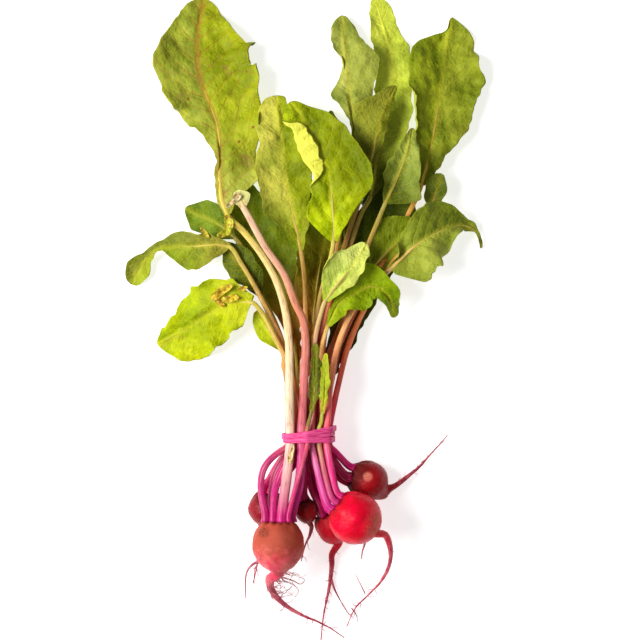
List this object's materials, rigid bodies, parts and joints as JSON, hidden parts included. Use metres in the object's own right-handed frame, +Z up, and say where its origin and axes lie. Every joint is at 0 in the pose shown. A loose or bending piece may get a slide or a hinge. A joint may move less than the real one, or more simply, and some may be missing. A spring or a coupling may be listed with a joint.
{
  "type": "beetroot bunch",
  "caption": "Bunch of small round beetroots with long leaf stems and broad wavy leaves, tied with an elastic band and lying on its side.",
  "frame": {"origin": "middle of the bounding box in plan, on the surface that the bunch lies on", "axes": "+Z up from the surface, +Y along the bunch from the beets to the leaf tips, +X to the right with the leaf tips pointing away from the viewer"},
  "size_m": [0.291, 0.525, 0.0614],
  "materials": {
    "beet_skin": "satin, finely lined root skin",
    "stem_skin": "smooth, waxy, pink to cream",
    "leaf_green": "soft satin leaf with pale veins",
    "band_pink": "matte stretched elastic"
  },
  "bodies": {
    "root": {"band": "band_pink", "beet_back_left": "beet_skin", "beet_back_middle": "beet_skin", "beet_back_right": "beet_skin", "beet_back_small": "beet_skin", "beet_front_left": "beet_skin", "beet_front_right": "beet_skin", "leaf_back_left": "leaf_green", "leaf_centre_bright": "leaf_green", "leaf_centre_left": "leaf_green", "leaf_front_broken": "leaf_green", "leaf_front_dark": "leaf_green", "leaf_front_pale": "leaf_green", "leaf_front_small": "leaf_green", "leaf_inner_left": "leaf_green", "leaf_inner_middle": "leaf_green", "leaf_inner_right": "leaf_green", "leaf_left_broad": "leaf_green", "leaf_left_curled": "leaf_green", "leaf_left_low": "leaf_green", "leaf_left_small": "leaf_green", "leaf_left_under": "leaf_green", "leaf_right_folded": "leaf_green", "leaf_right_front": "leaf_green", "leaf_right_low": "leaf_green", "leaf_right_middle": "leaf_green", "leaf_right_small": "leaf_green", "leaf_right_tall": "leaf_green", "leaf_top_front": "leaf_green", "leaf_top_pale": "leaf_green", "leaf_top_tall": "leaf_green", "stem_back_left": "stem_skin", "stem_centre_bright": "stem_skin", "stem_centre_left": "stem_skin", "stem_front_broken": "stem_skin", "stem_front_dark": "stem_skin", "stem_front_pale": "stem_skin", "stem_front_small": "stem_skin", "stem_inner_left": "stem_skin", "stem_inner_middle": "stem_skin", "stem_inner_right": "stem_skin", "stem_left_broad": "stem_skin", "stem_left_curled": "stem_skin", "stem_left_low": "stem_skin", "stem_left_small": "stem_skin", "stem_left_under": "stem_skin", "stem_right_folded": "stem_skin", "stem_right_front": "stem_skin", "stem_right_low": "stem_skin", "stem_right_middle": "stem_skin", "stem_right_small": "stem_skin", "stem_right_tall": "stem_skin", "stem_top_front": "stem_skin", "stem_top_pale": "stem_skin", "stem_top_tall": "stem_skin"}
  },
  "joints": []
}
